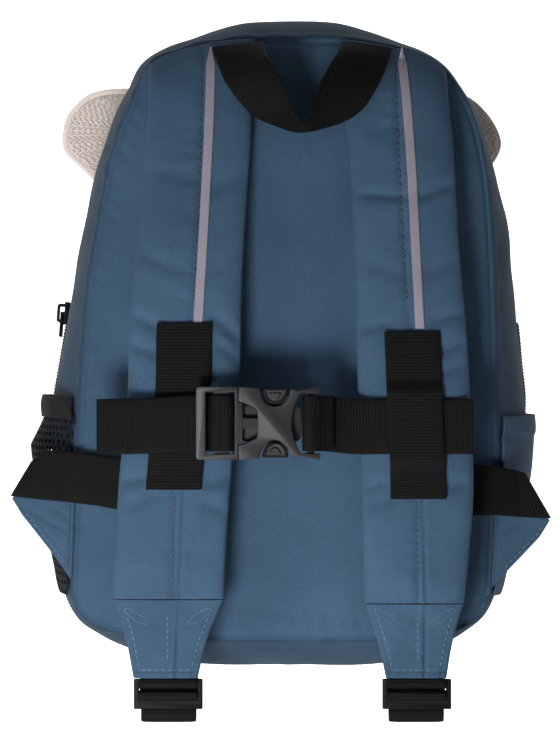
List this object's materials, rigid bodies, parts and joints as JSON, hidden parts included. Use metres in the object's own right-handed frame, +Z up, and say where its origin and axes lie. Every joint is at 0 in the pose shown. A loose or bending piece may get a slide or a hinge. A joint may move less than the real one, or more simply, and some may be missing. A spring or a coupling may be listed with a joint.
{
  "type": "kids animal backpack",
  "caption": "Small padded backpack in blue polyester with round ears, shoulder straps, a chest strap with a side-release buckle, a grab handle and side pockets.",
  "frame": {"origin": "top centre of the back panel, at the seam that the grab handle and the shoulder straps are sewn into", "axes": "+Z up; +X to the right as seen from the wearer's side; the wearer's side faces -Y and the bag's front faces +Y"},
  "size_m": [0.2485, 0.1632, 0.3239],
  "materials": {
    "blue_polyester": "twill weave, matt",
    "black_webbing": "ribbed webbing, matt",
    "black_plastic": "satin moulded plastic",
    "ear_cloth": "plain cloth, matt",
    "reflective_tape": "reflective tape",
    "black_mesh": "open mesh, matt"
  },
  "bodies": {
    "bag": {"back_panel": "blue_polyester", "gusset": "blue_polyester", "front_panel": "blue_polyester", "zip_coil": "black_webbing", "zip_slider": "black_plastic", "ear_left": "ear_cloth", "ear_right": "ear_cloth", "shoulder_strap_left": "blue_polyester", "shoulder_strap_right": "blue_polyester", "strap_tab_left": "blue_polyester", "strap_tab_right": "blue_polyester", "reflective_strip_left": "reflective_tape", "reflective_strip_right": "reflective_tape", "strap_webbing_left": "black_webbing", "strap_webbing_right": "black_webbing", "chest_strap_left": "black_webbing", "chest_strap_right": "black_webbing", "buckle_male": "black_plastic", "buckle_female": "black_plastic", "ladder_lock_left": "black_plastic", "ladder_lock_right": "black_plastic", "lock_loop_left": "black_webbing", "lock_loop_right": "black_webbing", "adjuster_webbing_left": "black_webbing", "adjuster_webbing_right": "black_webbing", "wing_left": "blue_polyester", "wing_right": "blue_polyester", "grab_handle": "black_webbing", "mesh_pocket_left": "black_mesh", "pocket_binding_left": "black_webbing", "side_pocket_right": "blue_polyester"},
    "zip_pull": {"zip_pull": "black_plastic"}
  },
  "joints": [
    {"name": "zip_pull_hinge", "type": "hinge", "parent": "bag", "child": "zip_pull", "pos_m": [-0.11125, 0.05483, -0.12516], "axis": [0, 1, 0], "range_deg": [0, 165]}
  ]
}
